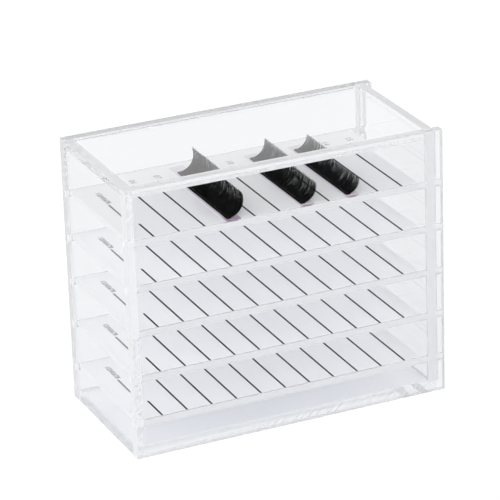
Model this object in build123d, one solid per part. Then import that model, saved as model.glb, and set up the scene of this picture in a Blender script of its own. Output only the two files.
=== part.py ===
from build123d import *
import math
import os

# Clear acrylic box with five loose trays for lash strips and a side door that lifts out.
# Millimetres. X runs along the length (door at +X), Y from front to rear, Z up.
# The origin is at the middle of the underside.

# Outside of the case
case_width = 165.0
case_depth = 81.0
case_height = 137.0

# Acrylic sheet of the case, and the polished break on its outer edges
sheet = 5.0
edge_break = 0.3

# Side door, and how far the front and rear panels reach past it
door_thickness = 4.8
door_overhang = 3.3
door_slot_depth = 2.0
door_fit = 0.25

# Top panel stops short of the door
top_door_gap = 1.5

# Trays, and the grooves that carry their long edges
tray_count = 5
tray_thickness = 3.0
tray_corner = 0.8
tray_slot_depth = 2.0
tray_fit = 0.3
tray_wall_gap = 1.2
tray_door_gap = 3.5
room_under_trays = 10.5
room_over_trays = 21.5

# Marking in the top face of each tray: long lines across, and two short label lines at the left
line_width = 0.7
line_depth = 0.2
line_front_margin = 2.1
line_rear_margin = 18.2
line_pitch = 12.94
first_line_margin = 21.95
last_line_margin = 6.0
label_line_length = 17.9
label_line_gap = 9.2

# Lash strips on the top tray: each lies on its own tape, with its roots a little left of a long line
strip_lines = (3, 6, 8)
strip_front_margin = 4.8
strip_rear_margin = 13.7
root_lefts = (0.6, 0.85, 2.8)
root_width = 2.4
root_thickness = 0.6
lash_pitch = 0.5
lash_thickness = 0.28
lash_root_height = 0.5
lash_tip_height = 0.14
lash_joints = 4
curl_radii = (8.4, 7.9, 6.8)
curl_degrees = (115.0, 100.0, 92.0)
tape_thickness = 0.2
tape_corner = 1.0
tape_front_margin = 2.4
tape_rear_margins = (5.2, 8.2, 8.2)
tape_lefts = (1.9, 1.9, 3.8)
tape_widths = (8.0, 7.6, 7.2)

# Inside of the case
left_in = -case_width / 2 + sheet
front_in = -case_depth / 2 + sheet
rear_in = case_depth / 2 - sheet
floor_z = sheet
ceiling_z = case_height - sheet

# Door
door_outer = case_width / 2 - door_overhang
door_inner = door_outer - door_thickness

# Trays: evenly spaced between the room left below the lowest and above the highest
tray_left = left_in + tray_wall_gap
tray_right = door_inner - tray_door_gap
tray_front = front_in - tray_slot_depth + tray_fit
tray_rear = -tray_front
lowest_seat = floor_z + room_under_trays
highest_seat = ceiling_z - room_over_trays - tray_thickness
tray_pitch = (highest_seat - lowest_seat) / (tray_count - 1)
tray_seats = [highest_seat - number * tray_pitch for number in range(tray_count)]
top_tray_z = highest_seat + tray_thickness

# Long lines
lined_span = tray_right - tray_left - first_line_margin - last_line_margin
line_count = int(lined_span / line_pitch) + 1
line_xs = [tray_left + first_line_margin + number * line_pitch for number in range(line_count)]
label_x = tray_left + first_line_margin - line_pitch
line_front = tray_front + line_front_margin
line_rear = tray_rear - line_rear_margin

# Lash strips
strip_front = tray_front + strip_front_margin
strip_rear = tray_rear - strip_rear_margin


def block(x_from, x_to, y_from, y_to, z_from, z_to):
    """A rectangular solid between two corners."""
    box = Box(x_to - x_from, y_to - y_from, z_to - z_from, align=(Align.MIN, Align.MIN, Align.MIN))
    return Pos(x_from, y_from, z_from) * box


def front_panel():
    """Full-width sheet whose inner face has a groove for each tray and an upright one for the door."""
    section = Pos(-case_depth / 2, 0) * Rectangle(sheet, case_height, align=(Align.MIN, Align.MIN))
    groove = Rectangle(tray_slot_depth, tray_thickness + tray_fit, align=(Align.MAX, Align.MIN))
    for seat in tray_seats:
        section -= Pos(front_in, seat) * groove
    panel = extrude(Plane.YZ.offset(-case_width / 2) * section, amount=case_width)
    outer_face = panel.faces().sort_by(Axis.Y)[0]
    panel = chamfer(outer_face.edges(), edge_break)
    door_slot = block(
        door_inner - door_fit, door_outer + door_fit,
        front_in - door_slot_depth, front_in,
        floor_z, case_height,
    )
    return panel - door_slot


def rear_panel():
    """Mirror image of the front panel."""
    return mirror(front_panel(), about=Plane.XZ)


def left_wall():
    """Closed end, cemented between the front and rear panels."""
    wall = block(-case_width / 2, left_in, front_in, rear_in, 0, case_height)
    outer_face = wall.faces().sort_by(Axis.X)[0]
    level_edges = outer_face.edges().filter_by(Axis.Y)
    return chamfer(level_edges, edge_break)


def top_panel():
    """Fixed top, flush with the tops of the walls."""
    panel = block(left_in, door_inner - top_door_gap, front_in, rear_in, ceiling_z, case_height)
    end_face = panel.faces().sort_by(Axis.X)[-1]
    return chamfer(end_face.edges().filter_by(Axis.Y), edge_break)


def base_panel():
    """Floor of the case. The door stands on its end."""
    return block(left_in, door_outer, front_in, rear_in, 0, floor_z)


def side_door():
    """Loose sheet that slides up between the panels, with its edges broken all round."""
    reach = door_slot_depth - door_fit
    door = block(door_inner, door_outer, front_in - reach, rear_in + reach, floor_z, case_height)
    inner_face = door.faces().sort_by(Axis.X)[0]
    outer_face = door.faces().sort_by(Axis.X)[-1]
    return chamfer(inner_face.edges() + outer_face.edges(), edge_break)


def line_bars():
    """The bars of colour that fill one tray's marking, flush with its top face at Z = 0."""
    half = line_width / 2
    bars = [
        block(x - half, x + half, line_front, line_rear, -line_depth, 0)
        for x in line_xs
    ]
    for place in range(2):
        start = line_front + place * (label_line_length + label_line_gap)
        end = start + label_line_length
        bars.append(block(label_x - half, label_x + half, start, end, -line_depth, 0))
    return bars


def tray(bars):
    """Flat tray with rounded corners and a shallow groove for each bar, its top face at Z = 0."""
    plate = block(tray_left, tray_right, tray_front, tray_rear, -tray_thickness, 0)
    plate = fillet(plate.edges().filter_by(Axis.Z), tray_corner)
    return plate - bars


def lash_tape(strip):
    """Adhesive tape under one lash strip, stuck to the top tray."""
    left = line_xs[strip_lines[strip] - 1] - tape_lefts[strip]
    front = tray_front + tape_front_margin
    rear = tray_rear - tape_rear_margins[strip]
    tape = block(left, left + tape_widths[strip], front, rear, top_tray_z, top_tray_z + tape_thickness)
    return fillet(tape.edges().filter_by(Axis.Z), tape_corner)


def curl_outline(radius, sweep):
    """Side view of one lash: a tapering hair bent along an arc, from X = Z = 0 at its root."""
    outside = []
    inside = []
    for joint in range(lash_joints + 1):
        share = joint / lash_joints
        angle = math.radians(sweep) * share
        half = (lash_root_height + (lash_tip_height - lash_root_height) * share) / 2
        outside.append(((radius + half) * math.sin(angle), radius - (radius + half) * math.cos(angle)))
        inside.append(((radius - half) * math.sin(angle), radius - (radius - half) * math.cos(angle)))
    return outside + inside[::-1]


def lash_strip(strip):
    """Bonded root band with a row of curled lashes, all the same way round."""
    root_left = line_xs[strip_lines[strip] - 1] - root_lefts[strip]
    band_z = top_tray_z + tape_thickness
    band = block(root_left, root_left + root_width, strip_front, strip_rear, band_z, band_z + root_thickness)
    outline = make_face(Polyline(curl_outline(curl_radii[strip], curl_degrees[strip]), close=True))
    lash = extrude(Plane.XZ * outline, amount=-lash_thickness)
    lash_z = band_z + lash_root_height / 2
    lash_total = int((strip_rear - strip_front - lash_thickness) / lash_pitch) + 1
    lashes = [
        Pos(root_left + root_width / 4, strip_front + number * lash_pitch, lash_z) * lash
        for number in range(lash_total)
    ]
    return band + lashes


def save(shape, node):
    export_step(shape, f"parts/{node}.step")


os.makedirs("parts", exist_ok=True)
save(front_panel(), "front_panel")
save(rear_panel(), "rear_panel")
save(left_wall(), "left_wall")
save(top_panel(), "top_panel")
save(base_panel(), "base_panel")
save(side_door(), "side_door")
marking = line_bars()
plain_tray = tray(marking)
for number, seat in enumerate(tray_seats, start=1):
    place = Pos(0, 0, seat + tray_thickness)
    save(place * plain_tray, f"tray_{number}")
    save(Compound(children=[place * bar for bar in marking]), f"tray_{number}_lines")
for strip in range(len(strip_lines)):
    save(lash_tape(strip), f"lash_tape_{strip + 1}")
    save(lash_strip(strip), f"lash_strip_{strip + 1}")
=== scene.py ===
import math

import bpy
import numpy as np
from mathutils import Matrix, Vector


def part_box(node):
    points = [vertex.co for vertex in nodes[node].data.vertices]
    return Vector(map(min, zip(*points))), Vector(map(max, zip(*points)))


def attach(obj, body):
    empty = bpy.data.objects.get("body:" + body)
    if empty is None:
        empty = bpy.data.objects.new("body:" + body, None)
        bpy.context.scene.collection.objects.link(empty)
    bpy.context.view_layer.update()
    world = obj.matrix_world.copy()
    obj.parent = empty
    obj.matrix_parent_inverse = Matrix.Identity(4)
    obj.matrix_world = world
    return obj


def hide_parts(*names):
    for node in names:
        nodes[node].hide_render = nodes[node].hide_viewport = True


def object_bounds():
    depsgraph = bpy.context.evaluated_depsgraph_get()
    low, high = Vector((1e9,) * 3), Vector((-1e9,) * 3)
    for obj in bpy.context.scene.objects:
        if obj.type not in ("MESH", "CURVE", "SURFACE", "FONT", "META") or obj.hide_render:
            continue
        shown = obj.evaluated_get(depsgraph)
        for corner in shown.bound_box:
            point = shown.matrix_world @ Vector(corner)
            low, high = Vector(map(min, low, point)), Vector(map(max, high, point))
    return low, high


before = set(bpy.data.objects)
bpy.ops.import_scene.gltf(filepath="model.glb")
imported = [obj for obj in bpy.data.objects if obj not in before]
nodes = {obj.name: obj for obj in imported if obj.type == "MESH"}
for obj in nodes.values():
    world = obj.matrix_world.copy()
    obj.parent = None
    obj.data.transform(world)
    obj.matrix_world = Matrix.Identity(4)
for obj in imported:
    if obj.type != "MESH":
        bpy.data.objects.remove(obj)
cad_low, cad_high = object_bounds()

# Metres. X runs along the box, with the door at +X. Y runs from front to rear, Z up.

# Camera, as fitted to the corners of the box and the ends of the printed lines
IMAGE_PIXELS = 500
SENSOR_MM = 36.0
FOCAL_PIXELS = 3209.6
CAMERA_AZIMUTH = math.radians(-23.905)
CAMERA_ELEVATION = math.radians(22.765)
CAMERA_ROLL = math.radians(-1.981)
CAMERA_DISTANCE = 1.5641
CAMERA_SIDESTEP = -0.00245
CAMERA_RISE = 0.007275
NEAREST_SEEN = 0.05
FARTHEST_SEEN = 60

# Colours that several materials share
WHITE = (1, 1, 1, 1)
BLACK = (0, 0, 0, 1)
NEARLY_CLEAR = (0.985, 0.987, 0.99, 1)

# Brightness of the surroundings by height: (sine of the elevation, brightness)
SOFT_LIGHT = ((-1.0, 0.96), (0.0, 2.5), (0.25, 1.5), (1.0, 0.23))
MIRRORED_LIGHT = ((-1.0, 0.9), (0.0, 1.0), (0.5, 1.0), (1.0, 0.75))
RAMP_TOP = 2.8
BLUE_CAST = 1.01

# How much the soft light gains towards the left
LEFT_LEAN = 0.19

# Lamps
LAMP_AIM = (0, 0, 0.06)
LAMP_SIZE = 1.2
KEY_PLACE = (-0.9, -1.1, 1.6)
KEY_POWER = 4.6
FILL_PLACE = (1.2, -0.6, 1.2)
FILL_POWER = 2

# Floor: its paint takes the shadow. Seen by the camera, or in and through the object, part of it glows.
FLOOR_HALF = 12.0
FLOOR_DROP = 0.0002
FLOOR_PAINT = (0.92, 0.92, 0.92, 1)
SEEN_PAINT = 0.3
SEEN_GLOW = 0.78
MIRRORED_PAINT = 0.8
MIRRORED_GLOW = 0.3


def make_camera():
    """Places the camera round the middle of the box."""
    azimuth, elevation, roll = CAMERA_AZIMUTH, CAMERA_ELEVATION, CAMERA_ROLL
    back = Vector((
        math.sin(azimuth) * math.cos(elevation),
        -math.cos(azimuth) * math.cos(elevation),
        math.sin(elevation),
    ))
    level_right = Vector((math.cos(azimuth), math.sin(azimuth), 0))
    level_up = back.cross(level_right)
    right = math.cos(roll) * level_right + math.sin(roll) * level_up
    up = math.cos(roll) * level_up - math.sin(roll) * level_right
    middle = (cad_low + cad_high) / 2
    place = middle + back * CAMERA_DISTANCE + right * CAMERA_SIDESTEP + up * CAMERA_RISE
    turn = Matrix((right, up, back)).transposed().to_4x4()
    data = bpy.data.cameras.new("camera")
    data.sensor_width = SENSOR_MM
    data.lens = FOCAL_PIXELS * SENSOR_MM / IMAGE_PIXELS
    data.clip_start = NEAREST_SEEN
    data.clip_end = FARTHEST_SEEN
    camera = bpy.data.objects.new("camera", data)
    camera.matrix_world = Matrix.Translation(place) @ turn
    bpy.context.collection.objects.link(camera)
    bpy.context.scene.camera = camera


class Nodes:
    """Short ways to build a node tree."""

    def __init__(self, tree):
        self.tree = tree

    def add(self, kind, **settings):
        """A node with these properties, or constants in its sockets of these names."""
        node = self.tree.nodes.new(kind)
        for name, value in settings.items():
            if hasattr(node, name):
                setattr(node, name, value)
            else:
                node.inputs[name.replace("_", " ")].default_value = value
        return node

    def link(self, source, target):
        self.tree.links.new(source, target)

    def feed(self, value, target):
        """Links a socket, or sets a constant."""
        if isinstance(value, bpy.types.NodeSocket):
            self.link(value, target)
        else:
            target.default_value = value

    def math(self, operation, *values, clamp=False):
        node = self.add("ShaderNodeMath", operation=operation, use_clamp=clamp)
        for socket, value in zip(node.inputs, values):
            self.feed(value, socket)
        return node.outputs[0]

    def times(self, value, factor):
        return self.math("MULTIPLY", value, factor)

    def size(self, value):
        return self.math("ABSOLUTE", value)

    def both(self, *values):
        result = values[0]
        for value in values[1:]:
            result = self.times(result, value)
        return result

    def either(self, *values):
        result = values[0]
        for value in values[1:]:
            result = self.math("MAXIMUM", result, value)
        return result

    def above(self, value, limit):
        return self.math("GREATER_THAN", value, limit)

    def below(self, value, limit):
        return self.math("LESS_THAN", value, limit)

    def near(self, value, target, within):
        return self.below(self.size(self.math("SUBTRACT", value, target)), within)

    def spread(self, value, low, high, **settings):
        """Maps low to high onto 0 to 1, or onto To_Min to To_Max."""
        node = self.add("ShaderNodeMapRange", From_Min=low, From_Max=high, **settings)
        self.link(value, node.inputs["Value"])
        return node.outputs[0]

    def parts(self, vector):
        node = self.add("ShaderNodeSeparateXYZ")
        self.link(vector, node.inputs[0])
        return tuple(node.outputs)

    def place(self):
        return self.add("ShaderNodeTexCoord").outputs["Object"]

    def normal(self):
        return self.parts(self.add("ShaderNodeNewGeometry").outputs["True Normal"])

    def noise(self, place, **settings):
        node = self.add("ShaderNodeTexNoise", **settings)
        self.link(place, node.inputs["Vector"])
        return node.outputs["Fac"]

    def blend(self, share, first, second):
        """A colour between two."""
        node = self.add("ShaderNodeMix", data_type="RGBA")
        for socket, value in zip((0, 6, 7), (share, first, second)):
            self.feed(value, node.inputs[socket])
        return node.outputs[2]

    def mix(self, share, first, second):
        """A shader between two."""
        node = self.add("ShaderNodeMixShader")
        for socket, value in zip(node.inputs, (share, first, second)):
            self.link(value, socket)
        return node.outputs[0]

    def finish(self, shader, kind="ShaderNodeOutputMaterial"):
        self.link(shader, self.add(kind).inputs["Surface"])


def new_material(name):
    material = bpy.data.materials.new(name)
    material.use_nodes = True
    material.node_tree.nodes.clear()
    return material, Nodes(material.node_tree)


def make_world():
    """White behind the object, and soft light round it.

    The light is strongest near the horizon, so that it reaches between the trays."""
    world = bpy.data.worlds.new("studio")
    world.use_nodes = True
    bpy.context.scene.world = world
    world.node_tree.nodes.clear()
    n = Nodes(world.node_tree)
    direction = n.parts(n.add("ShaderNodeTexCoord").outputs["Generated"])
    soft = n.add("ShaderNodeBackground")
    n.link(height_ramp(n, direction[2], SOFT_LIGHT), soft.inputs["Color"])
    n.link(n.math("SUBTRACT", 1.0, n.times(direction[0], LEFT_LEAN)), soft.inputs["Strength"])
    mirrored = n.add("ShaderNodeBackground", Strength=1.0)
    n.link(height_ramp(n, direction[2], MIRRORED_LIGHT), mirrored.inputs["Color"])
    white = n.add("ShaderNodeBackground", Color=WHITE, Strength=1.0)
    path = n.add("ShaderNodeLightPath").outputs
    shown = n.mix(path["Is Glossy Ray"], soft.outputs[0], mirrored.outputs[0])
    plain = n.either(path["Is Camera Ray"], path["Is Transmission Ray"])
    shown = n.mix(plain, shown, white.outputs[0])
    n.finish(shown, "ShaderNodeOutputWorld")


def height_ramp(n, height, stops):
    """Brightness that changes with height. The ramp holds shares of RAMP_TOP, as its colours stop at 1."""
    ramp = n.add("ShaderNodeValToRGB")
    n.link(n.times(n.math("ADD", height, 1.0), 0.5), ramp.inputs[0])
    marks = ramp.color_ramp.elements
    while len(marks) < len(stops):
        marks.new(0.5)
    for mark, (level, brightness) in zip(marks, stops):
        mark.position = (level + 1) / 2
        share = brightness / RAMP_TOP
        mark.color = (share, share, share * BLUE_CAST, 1)
    scale = n.add("ShaderNodeVectorMath", operation="SCALE")
    n.link(ramp.outputs[0], scale.inputs[0])
    scale.inputs["Scale"].default_value = RAMP_TOP
    return scale.outputs[0]


def make_lamp(name, place, power):
    data = bpy.data.lights.new(name, "AREA")
    data.shape = "SQUARE"
    data.size = LAMP_SIZE
    data.energy = power
    lamp = bpy.data.objects.new(name, data)
    lamp.location = place
    lamp.rotation_euler = (Vector(LAMP_AIM) - Vector(place)).to_track_quat("-Z", "Y").to_euler()
    bpy.context.collection.objects.link(lamp)


def white_paint(n, paint, glow):
    """Part paint, which takes the shadow, and part glow."""
    dull = n.add("ShaderNodeBsdfDiffuse", Color=(paint, paint, paint, 1))
    bright = n.add("ShaderNodeEmission", Color=WHITE, Strength=glow)
    both = n.add("ShaderNodeAddShader")
    n.link(dull.outputs[0], both.inputs[0])
    n.link(bright.outputs[0], both.inputs[1])
    return both.outputs[0]


def make_floor():
    """Pale floor that keeps a faint shadow and looks white to the camera."""
    half = FLOOR_HALF
    corners = [(-half, -half, 0), (half, -half, 0), (half, half, 0), (-half, half, 0)]
    mesh = bpy.data.meshes.new("floor")
    mesh.from_pydata(corners, [], [(0, 1, 2, 3)])
    floor = bpy.data.objects.new("floor", mesh)
    floor.location.z = cad_low.z - FLOOR_DROP
    bpy.context.collection.objects.link(floor)
    material, n = new_material("floor_white")
    paint = n.add("ShaderNodeBsdfDiffuse", Color=FLOOR_PAINT)
    path = n.add("ShaderNodeLightPath").outputs
    mirrored = n.either(path["Is Glossy Ray"], path["Is Transmission Ray"])
    shown = n.mix(mirrored, paint.outputs[0], white_paint(n, MIRRORED_PAINT, MIRRORED_GLOW))
    shown = n.mix(path["Is Camera Ray"], shown, white_paint(n, SEEN_PAINT, SEEN_GLOW))
    n.finish(shown)
    mesh.materials.append(material)


# Places in the case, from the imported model
inner_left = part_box("top_panel")[0].x
inner_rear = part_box("top_panel")[1].y
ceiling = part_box("top_panel")[0].z
floor_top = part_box("base_panel")[1].z
top_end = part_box("top_panel")[1].x
base_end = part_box("base_panel")[1].x
door_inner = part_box("side_door")[0].x
GROOVE_DEPTH = 0.002

# Places this close count as the same. A face faces a way if its normal has this much of it.
CLOSE = 0.00002
FACING = 0.6

# Light that passes the polished faces of the sheets
FRONT_SHEET = (0.90, 0.905, 0.915, 1)
REAR_SHEET = (0.94, 0.945, 0.955, 1)
CLEAREST_SHEET = (0.965, 0.967, 0.972, 1)
WALL_SHEET = (0.925, 0.93, 0.94, 1)
# The base's darker tint is partly the sheet's own and partly painted shade of the floor under the trays
BASE_SHEET_WITH_SHADE = (0.88, 0.885, 0.905, 1)

# Light that passes their sawn and milled faces
EDGE_TINT = (0.93, 0.932, 0.94, 1)
DOOR_EDGE_TINT = (0.975, 0.975, 0.98, 1)
GREY_EDGE_TINT = (0.76, 0.763, 0.78, 1)
EDGE_ROUGHNESS = 0.08

# Frosting of the sawn and milled faces, and its shares
FRONT_FROST = (0.72, 0.722, 0.73, 1)
REAR_FROST = (0.66, 0.662, 0.67, 1)
WALL_FROST = (0.80, 0.802, 0.81, 1)
LEVEL_FROST = (0.88, 0.88, 0.885, 1)
DOOR_FROST = (0.80, 0.802, 0.81, 1)
FROST_SHARE = 0.85
FAINTER_EDGE = 0.55

# Cloudy cement in the joints along the left wall, and less so round the base
JOINT_MILK = (0.85, 0.852, 0.858, 1)
JOINT_MILKINESS = 0.8
BASE_CLOUDINESS = 0.6

# Film of air under the door, and the slight waviness of the sheets
AIR_FILM = (0.97, 0.97, 0.97, 1)
FILM_ROUGHNESS = 0.02
RIPPLE_SCALE = 22.0
RIPPLE_STRENGTH = 0.004
RIPPLE_HEIGHT = 0.0004
ACRYLIC_IOR = 1.49


def acrylic(name, tint, edge_tint, frost, sawn, cemented=None, mirrored=None, cloudy=None):
    """Clear acrylic, polished on its faces and frosted on its sawn edges. Soft light passes straight.

    The last four are masks over places as they are at rest, made by mask(n, place, normal). sawn says
    how frosted an edge or groove is. cemented is 1 where the sheet is cemented to its neighbour, where
    light passes unbent, and cloudy says how milky that cement is. mirrored is 1 where the sheet rests on
    its neighbour, with a film of air between that mirrors."""
    material, n = new_material(name)
    surface = n.place()
    place = n.parts(surface)
    normal = n.normal()
    edge = sawn(n, place, normal)
    sheet = n.add("ShaderNodeBsdfPrincipled", IOR=ACRYLIC_IOR, Transmission_Weight=1.0)
    sheet.inputs["Specular Tint"].default_value = BLACK
    n.link(n.blend(edge, tint, edge_tint), sheet.inputs["Base Color"])
    n.link(n.times(edge, EDGE_ROUGHNESS), sheet.inputs["Roughness"])
    ripple = n.noise(surface, Scale=RIPPLE_SCALE, Detail=2.0, Roughness=0.4)
    bump = n.add("ShaderNodeBump", Strength=RIPPLE_STRENGTH, Distance=RIPPLE_HEIGHT)
    n.link(ripple, bump.inputs["Height"])
    n.link(bump.outputs["Normal"], sheet.inputs["Normal"])
    shown = sheet.outputs[0]
    if mirrored:
        film = n.add("ShaderNodeBsdfAnisotropic", Color=AIR_FILM, Roughness=FILM_ROUGHNESS)
        shown = n.mix(mirrored(n, place, normal), shown, film.outputs[0])
    bloom = n.add("ShaderNodeBsdfDiffuse", Color=frost)
    shown = n.mix(n.times(edge, FROST_SHARE), shown, bloom.outputs[0])
    clear = n.add("ShaderNodeBsdfTransparent", Color=NEARLY_CLEAR)
    path = n.add("ShaderNodeLightPath").outputs
    straight = n.either(path["Is Shadow Ray"], path["Is Diffuse Ray"])
    shown = n.mix(straight, shown, clear.outputs[0])
    if cemented:
        shown = n.mix(cemented(n, place, normal), shown, clear.outputs[0])
    if cloudy:
        milk = n.add("ShaderNodeBsdfDiffuse", Color=JOINT_MILK)
        bent = n.math("SUBTRACT", 1.0, straight)
        share = n.both(cloudy(n, place, normal), bent, JOINT_MILKINESS)
        shown = n.mix(share, shown, milk.outputs[0])
    n.finish(shown)
    return material


def facing(n, *parts):
    """1 where any of these parts of the normal is large, either way round."""
    return n.either(*(n.above(n.size(part), FACING) for part in parts))


def sawn_on_long_panel(n, place, normal):
    """The ends, and more faintly the top, the underside and the milled grooves."""
    groove = n.near(n.size(place[1]), inner_rear + GROOVE_DEPTH, CLOSE)
    fainter = n.times(n.either(facing(n, normal[2]), groove), FAINTER_EDGE)
    return n.either(facing(n, normal[0]), fainter)


def sawn_on_wall(n, place, normal):
    return n.times(facing(n, normal[2]), FAINTER_EDGE)


def sawn_on_level_panel(n, place, normal):
    """The ends of the top panel. Those of the base are polished."""
    ends = n.both(facing(n, normal[0]), n.above(place[2], floor_top + CLOSE))
    return n.times(ends, FAINTER_EDGE)


def sawn_on_door(n, place, normal):
    return facing(n, normal[1], normal[2])


def cement_on_long_panel(n, place, normal):
    """Bands on the inner faces of the front and rear panels, where left wall, top and base meet them.

    Cement also fills the grooves where they run across the left wall."""
    x, y, z = place
    wall = n.below(x, inner_left)
    top = n.both(n.above(z, ceiling), n.below(x, top_end))
    base = n.both(n.below(z, floor_top), n.below(x, base_end))
    inner_face = n.near(n.size(y), inner_rear, CLOSE)
    bands = n.both(inner_face, n.either(wall, top, base))
    return n.either(bands, n.both(wall, in_tray_groove(n, place, normal)))


def in_tray_groove(n, place, normal):
    middle = cad_high.z / 2
    in_depth = n.near(n.size(place[1]), inner_rear + GROOVE_DEPTH / 2 + CLOSE, GROOVE_DEPTH / 2)
    above_base = n.near(place[2], middle, middle - floor_top)
    no_end = n.below(n.size(normal[0]), FACING)
    return n.both(in_depth, above_base, no_end)


def cement_on_wall(n, place, normal):
    """The left wall's two long edges, and the strips where the top and base panels meet it."""
    meets_panel = n.either(n.above(place[2], ceiling), n.below(place[2], floor_top))
    strips = n.both(n.near(place[0], inner_left, CLOSE), meets_panel)
    return n.either(long_edges(n, place, normal), strips)


def long_edges(n, place, normal):
    """The edges along the front and the rear."""
    return facing(n, normal[1])


def cement_on_level_panel(n, place, normal):
    """The front, rear and left edges of the top or base panel."""
    return n.either(long_edges(n, place, normal), n.below(normal[0], -FACING))


def cement_on_base_panel(n, place, normal):
    """As on a level panel, and under the door, whose own foot mirrors."""
    under_door = n.both(n.near(place[2], floor_top, CLOSE), n.above(place[0], door_inner - CLOSE))
    return n.either(under_door, cement_on_level_panel(n, place, normal))


def cloudy_on_base(n, place, normal):
    return n.times(cement_on_level_panel(n, place, normal), BASE_CLOUDINESS)


def foot_of_door(n, place, normal):
    return n.near(place[2], floor_top, CLOSE)


def set_material(thing, material):
    thing.data.materials.clear()
    thing.data.materials.append(material)


def dress_case():
    front = acrylic(
        "acrylic_front", FRONT_SHEET, EDGE_TINT, FRONT_FROST,
        sawn_on_long_panel, cement_on_long_panel,
    )
    rear = acrylic(
        "acrylic_rear", REAR_SHEET, GREY_EDGE_TINT, REAR_FROST,
        sawn_on_long_panel, cement_on_long_panel,
    )
    wall = acrylic(
        "acrylic_wall", WALL_SHEET, GREY_EDGE_TINT, WALL_FROST,
        sawn_on_wall, cement_on_wall, cloudy=long_edges,
    )
    top = acrylic(
        "acrylic_top", CLEAREST_SHEET, EDGE_TINT, LEVEL_FROST,
        sawn_on_level_panel, cement_on_level_panel,
    )
    # The base's darker tint also paints the shade seen under the trays
    base = acrylic(
        "acrylic_base", BASE_SHEET_WITH_SHADE, EDGE_TINT, LEVEL_FROST,
        sawn_on_level_panel, cement_on_base_panel, cloudy=cloudy_on_base,
    )
    door = acrylic(
        "acrylic_door", CLEAREST_SHEET, DOOR_EDGE_TINT, DOOR_FROST,
        sawn_on_door, mirrored=foot_of_door,
    )
    set_material(nodes["front_panel"], front)
    set_material(nodes["rear_panel"], rear)
    set_material(nodes["left_wall"], wall)
    set_material(nodes["top_panel"], top)
    set_material(nodes["base_panel"], base)
    set_material(nodes["side_door"], door)


BOX_FACES = ((3, 2, 1, 0), (4, 5, 6, 7), (0, 1, 5, 4), (1, 2, 6, 5), (2, 3, 7, 6), (3, 0, 4, 7))


def box_points(x_from, x_to, y_from, y_to, z_from, z_to):
    corners = ((x_from, y_from), (x_to, y_from), (x_to, y_to), (x_from, y_to))
    return [(x, y, z) for z in (z_from, z_to) for x, y in corners]


def add_piece(name, points, faces, body, slot, material):
    mesh = bpy.data.meshes.new(name)
    mesh.from_pydata([tuple(point) for point in points], [], [tuple(face) for face in faces])
    mesh.update()
    piece = bpy.data.objects.new(name, mesh)
    bpy.context.collection.objects.link(piece)
    mesh.materials.append(material)
    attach(piece, body)
    return piece


# Seam of cement along the top panel: milky above, thin and cloudy below
CEMENT_MILK = (0.82, 0.82, 0.825, 1)
SEAM_DEPTH = 0.0029
SEAM_CLOUDS = 90.0
SEAM_HAZE = 0.7
SEAM_THICKNESS = 0.00003
SEAM_SETBACK = 0.00004


def milky_cement():
    material, n = new_material("cement_milk")
    place = n.place()
    haze = n.times(n.noise(place, Scale=SEAM_CLOUDS, Detail=2.0), SEAM_HAZE)
    milky = n.above(n.parts(place)[2], cad_high.z - SEAM_DEPTH)
    clear = n.add("ShaderNodeBsdfTransparent", Color=WHITE)
    milk = n.add("ShaderNodeBsdfDiffuse", Color=CEMENT_MILK)
    n.finish(n.mix(n.either(milky, haze), clear.outputs[0], milk.outputs[0]))
    return material


def add_seams():
    """The film of cement along the front and the rear of the top panel, just inside the long panels."""
    milk = milky_cement()
    for name, side in (("front", -1), ("rear", 1)):
        near_y = side * (inner_rear + SEAM_SETBACK)
        far_y = near_y + side * SEAM_THICKNESS
        low_y, high_y = min(near_y, far_y), max(near_y, far_y)
        points = box_points(inner_left, top_end, low_y, high_y, ceiling, cad_high.z - SEAM_SETBACK)
        add_piece(f"cement_top_{name}", points, BOX_FACES, "case", "clear_acrylic", milk)


# Trays from the top down, and the pairs of near tones of their white and their printing
TRAYS = [f"tray_{number}" for number in range(1, 6)]
TRAY_TONES = ((0.955, 0.957, 0.965, 1), (0.965, 0.965, 0.97, 1))
# Darker colour on the trays' upright faces, which paints shade on them
TRAY_SIDE_PAINTED_SHADE = (0.785, 0.79, 0.80, 1)
INK_TONES = ((0.016, 0.016, 0.018, 1), (0.03, 0.03, 0.032, 1))
NUMBER_TONES = ((0.42, 0.42, 0.43, 1), (0.5, 0.5, 0.51, 1))

# The stretch of a noise over which the tones change
CLOUD_FROM = 0.35
CLOUD_TO = 0.65


def satin_solid(name, tones, scale, roughness, specular, edge=None):
    """Opaque material whose colour wanders between two tones. Its upright faces may get a darker colour, as
    painted shade.
    """
    material, n = new_material(name)
    surface = n.add("ShaderNodeBsdfPrincipled", Roughness=roughness)
    surface.inputs["Specular IOR Level"].default_value = specular
    cloud = n.noise(n.place(), Scale=scale, Detail=3.0, Roughness=0.5)
    tone = n.blend(n.spread(cloud, CLOUD_FROM, CLOUD_TO), *tones)
    if edge:
        # Upright faces take the darker colour: painted shade
        tone = n.blend(facing(n, n.normal()[2]), edge, tone)
    n.link(tone, surface.inputs["Base Color"])
    n.finish(surface.outputs[0])
    return material


def dress_trays():
    """Opaque white acrylic with a soft gloss, and the matt printing."""
    # The trays' upright faces get a darker colour as painted shade
    white = satin_solid("tray_white", TRAY_TONES, scale=30.0, roughness=0.3, specular=0.35, edge=TRAY_SIDE_PAINTED_SHADE)
    dark = satin_solid("marking_dark", INK_TONES, scale=300.0, roughness=0.6, specular=0.2)
    grey = satin_solid("number_grey", NUMBER_TONES, scale=500.0, roughness=0.6, specular=0.2)
    for tray in TRAYS:
        set_material(nodes[tray], white)
        set_material(nodes[f"{tray}_lines"], dark)
        print_tray(tray, grey, dark)


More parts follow.
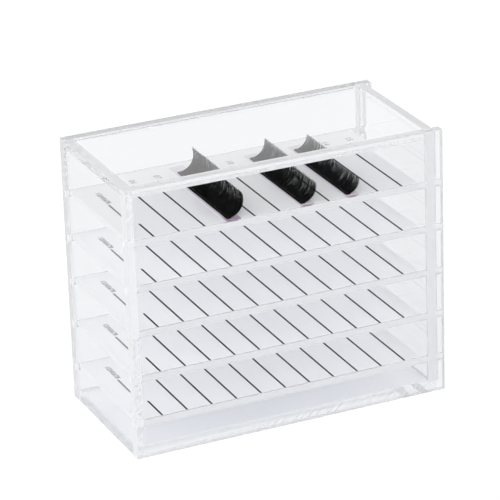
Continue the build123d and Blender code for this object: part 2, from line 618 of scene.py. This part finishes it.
# Plain numbers on the trays, read from the rear towards the front
INK_THICKNESS = 0.00003
FIGURE_WEIGHT = 0.03
FIGURE_SPACING = 1.15
FIGURE_SMOOTHNESS = 3
NUMBER_HEIGHT = 0.0034
FIRST_NUMBER = 6
NUMBER_START = 0.0072
NUMBER_SHIFT = 0.0020
LABEL_FIGURES = "12345678"
LABEL_HEIGHT = 0.0026
LABEL_START = 0.0017
LABEL_SHIFT = 0.0010

# The lines that the ink covers, as the source cuts them
LONG_LINE_COUNT = 10
LINE_HALF_WIDTH = 0.00035
LABEL_LINE_LENGTH = 0.0179
LABEL_LINE_GAP = 0.0092
INK_OVER_GROOVE = 0.00013


def print_tray(tray, grey, dark):
    """Grey numbers behind the long lines, and dark ink on the lines and for the label's figures."""
    low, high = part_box(f"{tray}_lines")
    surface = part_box(tray)[1].z
    label_x = low.x + LINE_HALF_WIDTH
    pitch = (high.x - LINE_HALF_WIDTH - label_x) / LONG_LINE_COUNT
    numbers = ([], [])
    ink = ([], [])
    for number in range(LONG_LINE_COUNT):
        x = label_x + (number + 1) * pitch
        text = f"{FIRST_NUMBER + number:02d}"
        write_figures(*numbers, text, NUMBER_HEIGHT, x + NUMBER_SHIFT, high.y + NUMBER_START, surface)
        lay_ink(*ink, x, low.y, high.y, surface)
    for line_start in (low.y, low.y + LABEL_LINE_LENGTH + LABEL_LINE_GAP):
        line_end = line_start + LABEL_LINE_LENGTH
        lay_ink(*ink, label_x, line_start, line_end, surface)
    length = figure_mesh(LABEL_FIGURES)[0][:, 0].max() * LABEL_HEIGHT
    start = line_end + LABEL_START + length
    write_figures(*ink, LABEL_FIGURES, LABEL_HEIGHT, label_x + LABEL_SHIFT, start, surface)
    add_piece(f"{tray}_numbers", *numbers, tray, "marking_colour", grey)
    add_piece(f"{tray}_ink", *ink, tray, "marking_colour", dark)


def figure_mesh(text):
    """Flat solid figures one unit high, running along +X from the origin."""
    curve = bpy.data.curves.new("figures", "FONT")
    curve.body = text
    curve.space_character = FIGURE_SPACING
    curve.resolution_u = FIGURE_SMOOTHNESS
    curve.extrude = 0.5
    curve.offset = FIGURE_WEIGHT
    thing = bpy.data.objects.new("figures", curve)
    bpy.context.collection.objects.link(thing)
    mesh = bpy.data.meshes.new_from_object(thing)
    points = np.array([vertex.co for vertex in mesh.vertices])
    faces = [list(polygon.vertices) for polygon in mesh.polygons]
    bpy.data.objects.remove(thing)
    bpy.data.curves.remove(curve)
    bpy.data.meshes.remove(mesh)
    points[:, 0] -= points[:, 0].min()
    points[:, 1] -= points[:, 1].min()
    return points / (points[:, 1].max(), points[:, 1].max(), 1), faces


def write_figures(points, faces, text, height, x, start_y, surface):
    """Figures that run from start_y towards the front, centred on x."""
    shape, shape_faces = figure_mesh(text)
    first = len(points)
    for run, across, lift in shape:
        z = surface + (lift + 0.5) * INK_THICKNESS
        points.append((x + (across - 0.5) * height, start_y - run * height, z))
    faces.extend([first + corner for corner in face] for face in shape_faces)


def lay_ink(points, faces, x, front, rear, surface):
    """A thin film of ink over one line, a little wider than its groove."""
    half = LINE_HALF_WIDTH + INK_OVER_GROOVE
    first = len(points)
    points.extend(box_points(x - half, x + half, front, rear, surface, surface + INK_THICKNESS))
    faces.extend([first + corner for corner in face] for face in BOX_FACES)


# Lash strips, in the order of their nodes
STRIPS = (1, 2, 3)
CURL_RADII = (0.0084, 0.0079, 0.0068)
CURL_DEGREES = (115.0, 100.0, 92.0)

# Single hairs, which root in a few layers
HAIR_SEED = 40
LASHES_PER_STRIP = 720
LASH_RINGS = 9
LASH_SIDES = 4
LASH_ROOT_THICKNESS = 0.00022
LASH_TIP_THICKNESS = 0.00006
LASH_TAPER = 1.4
LASH_ROOT_DEPTH = 0.0006
LASH_LAYERS = 3
LASH_LAYER = 0.00016

# How the hairs differ
ROOT_SPREAD = 0.0002
RADIUS_SPREAD = 0.012
SWEEP_MEAN = 0.99
SWEEP_SPREAD = 0.025
# Share of hairs whose tips carry brighter painted highlights
GLINTING_LASHES = 0.11

# Clumps of hairs: hairs in each, how far their tips are drawn together, and the unevenness of both
CLUMP_SIZES = (4, 14)
CLUMP_PULLS = (0.05, 0.5)
CLUMP_SPREAD = 0.0003
TIP_SPREAD = 0.0001
TIP_MARGINS = 3

# Bonded band along the roots, its tones, and its section as shares of width and height
BAND_TONES = ((0.0015, 0.0015, 0.002, 1), (0.004, 0.004, 0.005, 1))
BAND_SEED = 70
BAND_WIDTH = 0.0024
BAND_HEIGHT = 0.0006
BAND_STEPS = 60
BAND_SPREAD = 0.03
BAND_SECTION = (
    (0.0, 0.0), (1.0, 0.0), (1.0, 0.35), (0.93, 0.75), (0.8, 0.97), (0.2, 0.97), (0.07, 0.75), (0.0, 0.35),
)


def lash_points(x, y, z, radius, sweep, drift):
    """Rings of one lash, from its root to its tip, which stands drift further along the strip."""
    side = np.arange(LASH_SIDES) * 2 * math.pi / LASH_SIDES
    rings = []
    for ring in range(LASH_RINGS):
        share = ring / (LASH_RINGS - 1)
        angle = sweep * share
        half = (LASH_ROOT_THICKNESS + (LASH_TIP_THICKNESS - LASH_ROOT_THICKNESS) * share ** LASH_TAPER) / 2
        out = radius + half * np.cos(side)
        rings.append(np.column_stack((
            x + out * math.sin(angle),
            y + drift * share ** 3 + half * np.sin(side),
            z + radius - out * math.cos(angle),
        )))
    return np.vstack(rings)


def clump_drifts(draw, ys, low, high):
    """How far each lash leans along the strip. Uneven clumps lean together, with gaps between their tips."""
    drifts = []
    while len(drifts) < len(ys):
        first = len(drifts)
        clump = ys[first:first + draw.integers(*CLUMP_SIZES)]
        middle = min(max(clump.mean() + draw.normal(0, CLUMP_SPREAD), low), high)
        pull = draw.uniform(*CLUMP_PULLS)
        drifts.extend((middle - clump) * pull + draw.normal(0, TIP_SPREAD, len(clump)))
    return drifts


def tube_faces(first, rings, sides):
    """Quads round a tube of rings, with its two ends closed."""
    faces = [tuple(first + side for side in reversed(range(sides)))]
    for ring in range(rings - 1):
        start = first + ring * sides
        for side in range(sides):
            following = (side + 1) % sides
            above = start + sides
            faces.append((start + side, start + following, above + following, above + side))
    last = first + (rings - 1) * sides
    faces.append(tuple(last + side for side in range(sides)))
    return faces


def add_lashes(strip, black, pale):
    """Hundreds of fine tapered hairs that curl up from the root band, drawn together in small clumps."""
    draw = np.random.default_rng(HAIR_SEED + strip)
    low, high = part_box(f"lash_strip_{strip}")
    radius, sweep = CURL_RADII[strip - 1], math.radians(CURL_DEGREES[strip - 1])
    margin = LASH_ROOT_THICKNESS
    run = high.y - low.y - 2 * margin
    ys = low.y + margin + np.arange(LASHES_PER_STRIP) * (run / (LASHES_PER_STRIP - 1))
    drifts = clump_drifts(draw, ys, low.y + TIP_MARGINS * margin, high.y - TIP_MARGINS * margin)
    points = []
    faces = []
    for lash, (y, drift) in enumerate(zip(ys, drifts)):
        lift = LASH_LAYER * (LASH_LAYERS - 1 - lash % LASH_LAYERS)
        root_x = low.x + LASH_ROOT_DEPTH + draw.uniform(-ROOT_SPREAD, ROOT_SPREAD)
        root_z = low.z + LASH_ROOT_THICKNESS / 2 + lift
        own_radius = (radius - lift) * draw.normal(1.0, RADIUS_SPREAD)
        own_sweep = sweep * draw.normal(SWEEP_MEAN, SWEEP_SPREAD)
        faces.extend(tube_faces(len(points), LASH_RINGS, LASH_SIDES))
        points.extend(lash_points(root_x, y, root_z, own_radius, own_sweep, drift))
    hairs = add_piece(f"lash_strip_{strip}_hairs", points, faces, "tray_1", "lash_fibre", black)
    hairs.data.polygons.foreach_set("use_smooth", [True] * len(faces))
    # Some hairs get the second material, whose painted highlights are brighter
    hairs.data.materials.append(pale)
    has_painted_glints = (draw.random(LASHES_PER_STRIP) < GLINTING_LASHES).astype(np.int32)
    hairs.data.polygons.foreach_set("material_index", np.repeat(has_painted_glints, len(faces) // LASHES_PER_STRIP))
    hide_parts(f"lash_strip_{strip}")


def add_root_band(strip, black):
    """Bonded strip along the roots, with a rounded top and slightly uneven edges."""
    draw = np.random.default_rng(BAND_SEED + strip)
    low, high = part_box(f"lash_strip_{strip}")
    points = []
    for step in range(BAND_STEPS):
        y = low.y + (high.y - low.y) * step / (BAND_STEPS - 1)
        swell = 1 + draw.uniform(-BAND_SPREAD, 0.0)
        for across, up in BAND_SECTION:
            x = low.x + BAND_WIDTH * (0.5 + (across - 0.5) * swell)
            points.append((x, y, low.z + BAND_HEIGHT * up * swell))
    faces = tube_faces(0, BAND_STEPS, len(BAND_SECTION))
    add_piece(f"lash_strip_{strip}_band", points, faces, "tray_1", "lash_fibre", black)


# Hair: nearly black, with fine painted highlights along the hairs that fade in towards the tips, where a
# noise lies in a given stretch
HAIR_BLACK = (0.0012, 0.0012, 0.0014, 1)
HAIR_ROUGHNESS = 0.3
HAIR_SPECULAR = 0.05
GLINT_STRETCH = (60.0, 1000.0, 60.0)
PAINTED_GLINTS_FROM = 0.1165
PAINTED_GLINTS_FULL = 0.1205
FEW_PAINTED_GLINTS = (0.61, 0.7)
DIM_PAINTED_GLINTS = (0.09, 0.09, 0.09, 1)
MANY_PAINTED_GLINTS = (0.3, 0.45)
BRIGHT_PAINTED_GLINTS = (0.5, 0.5, 0.5, 1)

# Tapes: pale film, stronger in colour at the front over the given reach
TAPE_PALE = (0.76, 0.69, 0.78, 1)
TAPE_PALER = (0.86, 0.82, 0.87, 1)
TAPE_STRONG = (0.33, 0.16, 0.33, 1)
TAPE_STRONG_REACH = 0.008
TAPE_ROSE = (0.40, 0.16, 0.20, 1)
TAPE_ROSE_REACH = 0.0009
TAPE_ROUGHNESS = 0.4
TAPE_CLOUDS = 420.0
TAPE_PATCHINESS = 1.7


def hair_material(name, cover, glint_tone):
    material, n = new_material(name)
    hair = n.add("ShaderNodeBsdfPrincipled", Roughness=HAIR_ROUGHNESS)
    hair.inputs["Specular IOR Level"].default_value = HAIR_SPECULAR
    place = n.place()
    stretch = n.add("ShaderNodeMapping", Scale=GLINT_STRETCH)
    n.link(place, stretch.inputs["Vector"])
    # Painted highlights: thin streaks from a stretched noise, which grow with height towards the tips
    painted_glint = n.spread(n.noise(stretch.outputs[0], Scale=1.0, Detail=1.0), *cover)
    rise = n.spread(n.parts(place)[2], PAINTED_GLINTS_FROM, PAINTED_GLINTS_FULL)
    n.link(n.blend(n.both(painted_glint, rise), HAIR_BLACK, glint_tone), hair.inputs["Base Color"])
    n.finish(hair.outputs[0])
    return material


def tape_material(name, strong, front, reach):
    """Pale film in cloudy tones, which deepen to the strong one over the last stretch at the front."""
    material, n = new_material(name)
    film = n.add("ShaderNodeBsdfPrincipled", Roughness=TAPE_ROUGHNESS)
    place = n.place()
    cloud = n.noise(place, Scale=TAPE_CLOUDS, Detail=2.0, Roughness=0.6)
    pale = n.blend(cloud, TAPE_PALE, TAPE_PALER)
    depth = n.spread(n.parts(place)[1], front, front + reach, To_Min=1.0, To_Max=0.0)
    patchy = n.math("MULTIPLY", depth, n.times(cloud, TAPE_PATCHINESS), clamp=True)
    n.link(n.blend(patchy, pale, strong), film.inputs["Base Color"])
    n.finish(film.outputs[0])
    return material


def dress_strips():
    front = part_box("lash_tape_1")[0].y
    purple = tape_material("tape_purple", TAPE_STRONG, front, TAPE_STRONG_REACH)
    rose = tape_material("tape_pale", TAPE_ROSE, front, TAPE_ROSE_REACH)
    # Black hair with few dim painted highlights, and hair with many brighter ones
    black = hair_material("lash_black", FEW_PAINTED_GLINTS, DIM_PAINTED_GLINTS)
    pale = hair_material("lash_painted_glints", MANY_PAINTED_GLINTS, BRIGHT_PAINTED_GLINTS)
    band = satin_solid("band_black", BAND_TONES, scale=900.0, roughness=0.45, specular=0.04)
    for strip in STRIPS:
        set_material(nodes[f"lash_tape_{strip}"], purple if strip == 1 else rose)
        add_lashes(strip, black, pale)
        add_root_band(strip, band)


# Bounces that light needs to pass all the sheets
CLEAR_BOUNCES = 96
DIFFUSE_BOUNCES = 12


def set_view():
    scene = bpy.context.scene
    scene.view_settings.view_transform = "Standard"
    scene.cycles.max_bounces = CLEAR_BOUNCES
    scene.cycles.transmission_bounces = CLEAR_BOUNCES
    scene.cycles.glossy_bounces = CLEAR_BOUNCES
    scene.cycles.transparent_max_bounces = CLEAR_BOUNCES
    scene.cycles.diffuse_bounces = DIFFUSE_BOUNCES
    scene.cycles.caustics_reflective = False
    scene.cycles.caustics_refractive = False


make_camera()
make_world()
make_lamp("key", KEY_PLACE, KEY_POWER)
make_lamp("fill", FILL_PLACE, FILL_POWER)
make_floor()
dress_case()
add_seams()
dress_trays()
dress_strips()
set_view()
